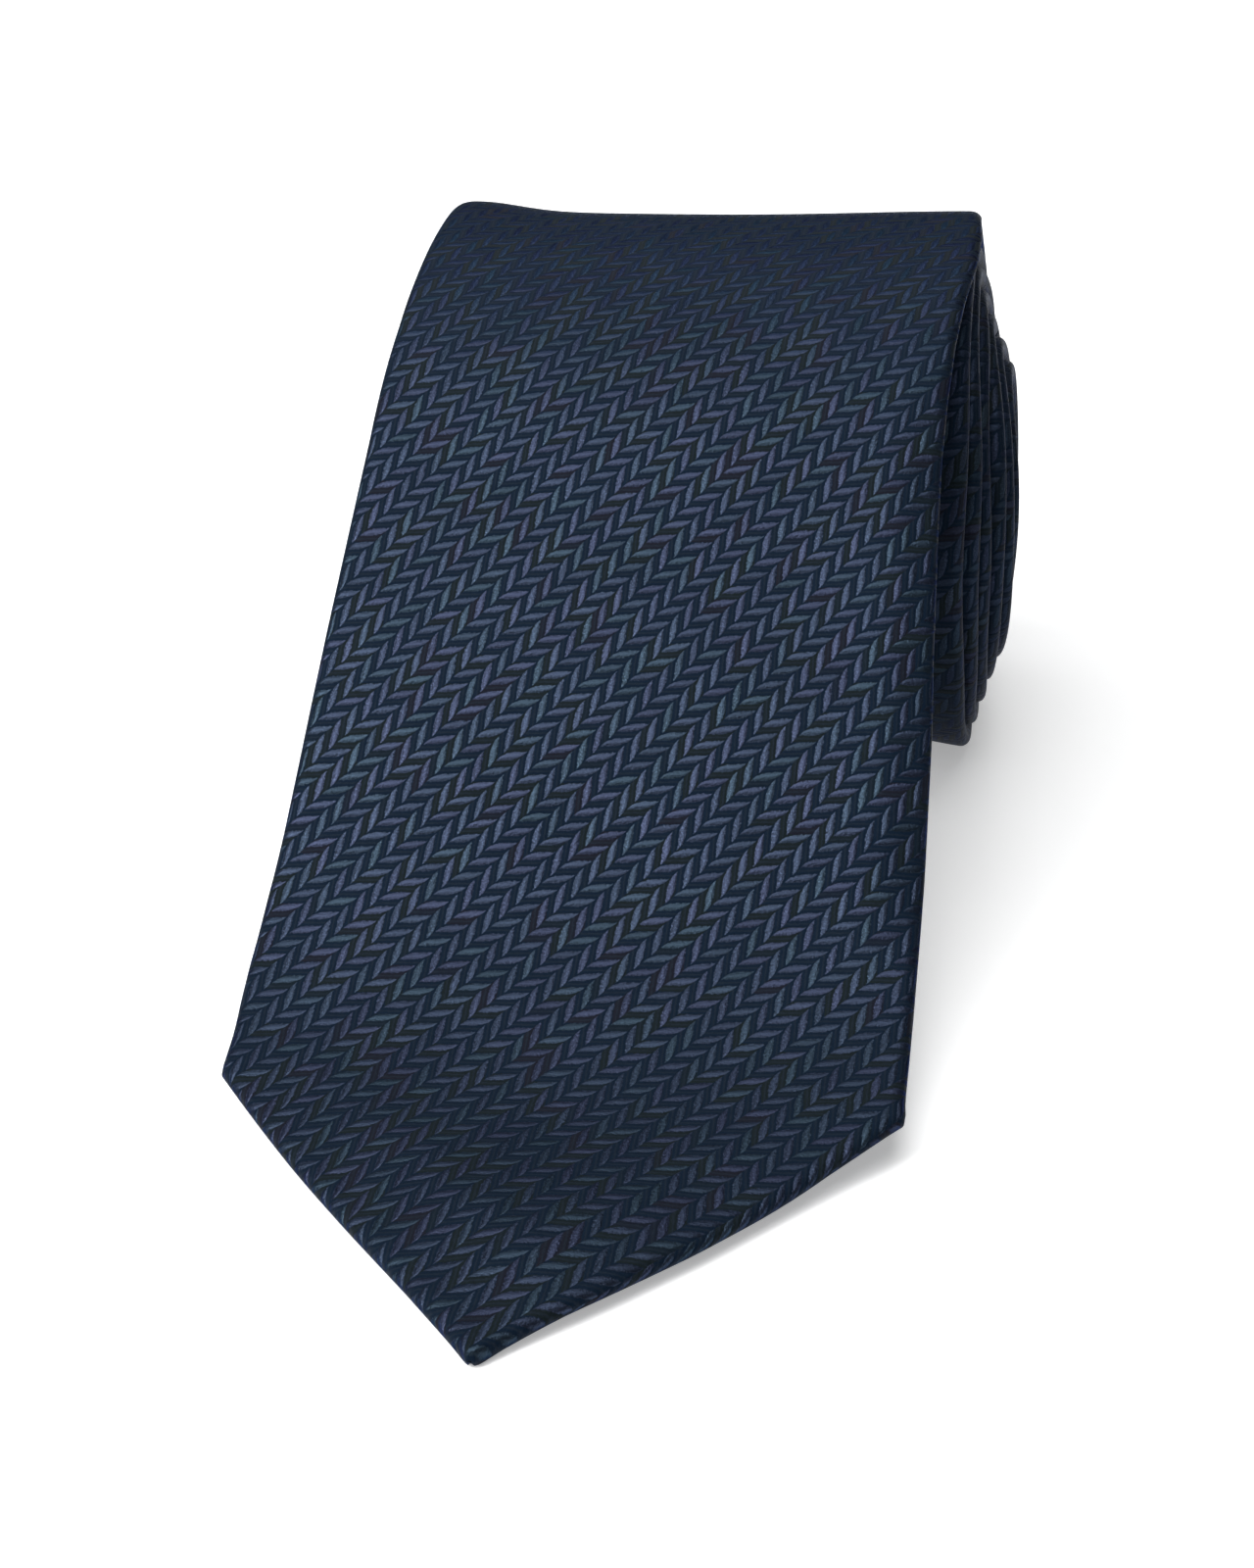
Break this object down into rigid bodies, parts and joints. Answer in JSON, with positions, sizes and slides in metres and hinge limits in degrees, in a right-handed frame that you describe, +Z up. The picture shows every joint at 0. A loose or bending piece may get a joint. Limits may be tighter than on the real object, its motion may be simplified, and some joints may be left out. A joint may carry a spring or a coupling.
{
  "type": "necktie",
  "caption": "Rolled woven silk necktie with its wide blade laid forward off the roll to a flat point.",
  "frame": {"origin": "on the surface the tie rests on, under the middle of the whole object's box", "axes": "+X along the roll's axis to the right of someone facing the blade's point, the point lies towards -Y, +Z up"},
  "size_m": [0.0942, 0.2116, 0.083],
  "materials": {
    "patterned_silk": "navy jacquard silk, herringbone of short satin bars, soft sheen",
    "plain_tipping": "plain dark navy lining with a fine weave",
    "wool_lining": "brushed off-white wool, matt",
    "thread": "twisted navy sewing thread",
    "label_satin": "blank woven satin label",
    "care_tape": "blank white woven tape"
  },
  "bodies": {
    "roll": {"blade_roll_shell": "patterned_silk", "neck_shell": "patterned_silk", "tail_shell": "patterned_silk", "interlining": "wool_lining", "slip_stitch": "thread", "tail_tipping": "plain_tipping", "tail_bar_tack": "thread", "keeper_loop": "patterned_silk", "keeper_loop_stitches": "thread", "maker_label": "label_satin", "maker_label_stitches": "thread", "care_label": "care_tape", "blade_neck_seam": "thread", "neck_tail_seam": "thread"},
    "blade": {"blade_point_shell": "patterned_silk", "blade_point_interlining": "wool_lining", "blade_tipping": "plain_tipping", "tipping_stitches": "thread", "blade_bar_tack": "thread", "slack_thread_loop": "thread", "blade_point_slip_stitch": "thread"}
  },
  "joints": [
    {"name": "blade_lift", "type": "hinge", "parent": "roll", "child": "blade", "pos_m": [0, 0.06405, 0.083], "axis": [-1, 0, 0], "range_deg": [0, 35]}
  ]
}
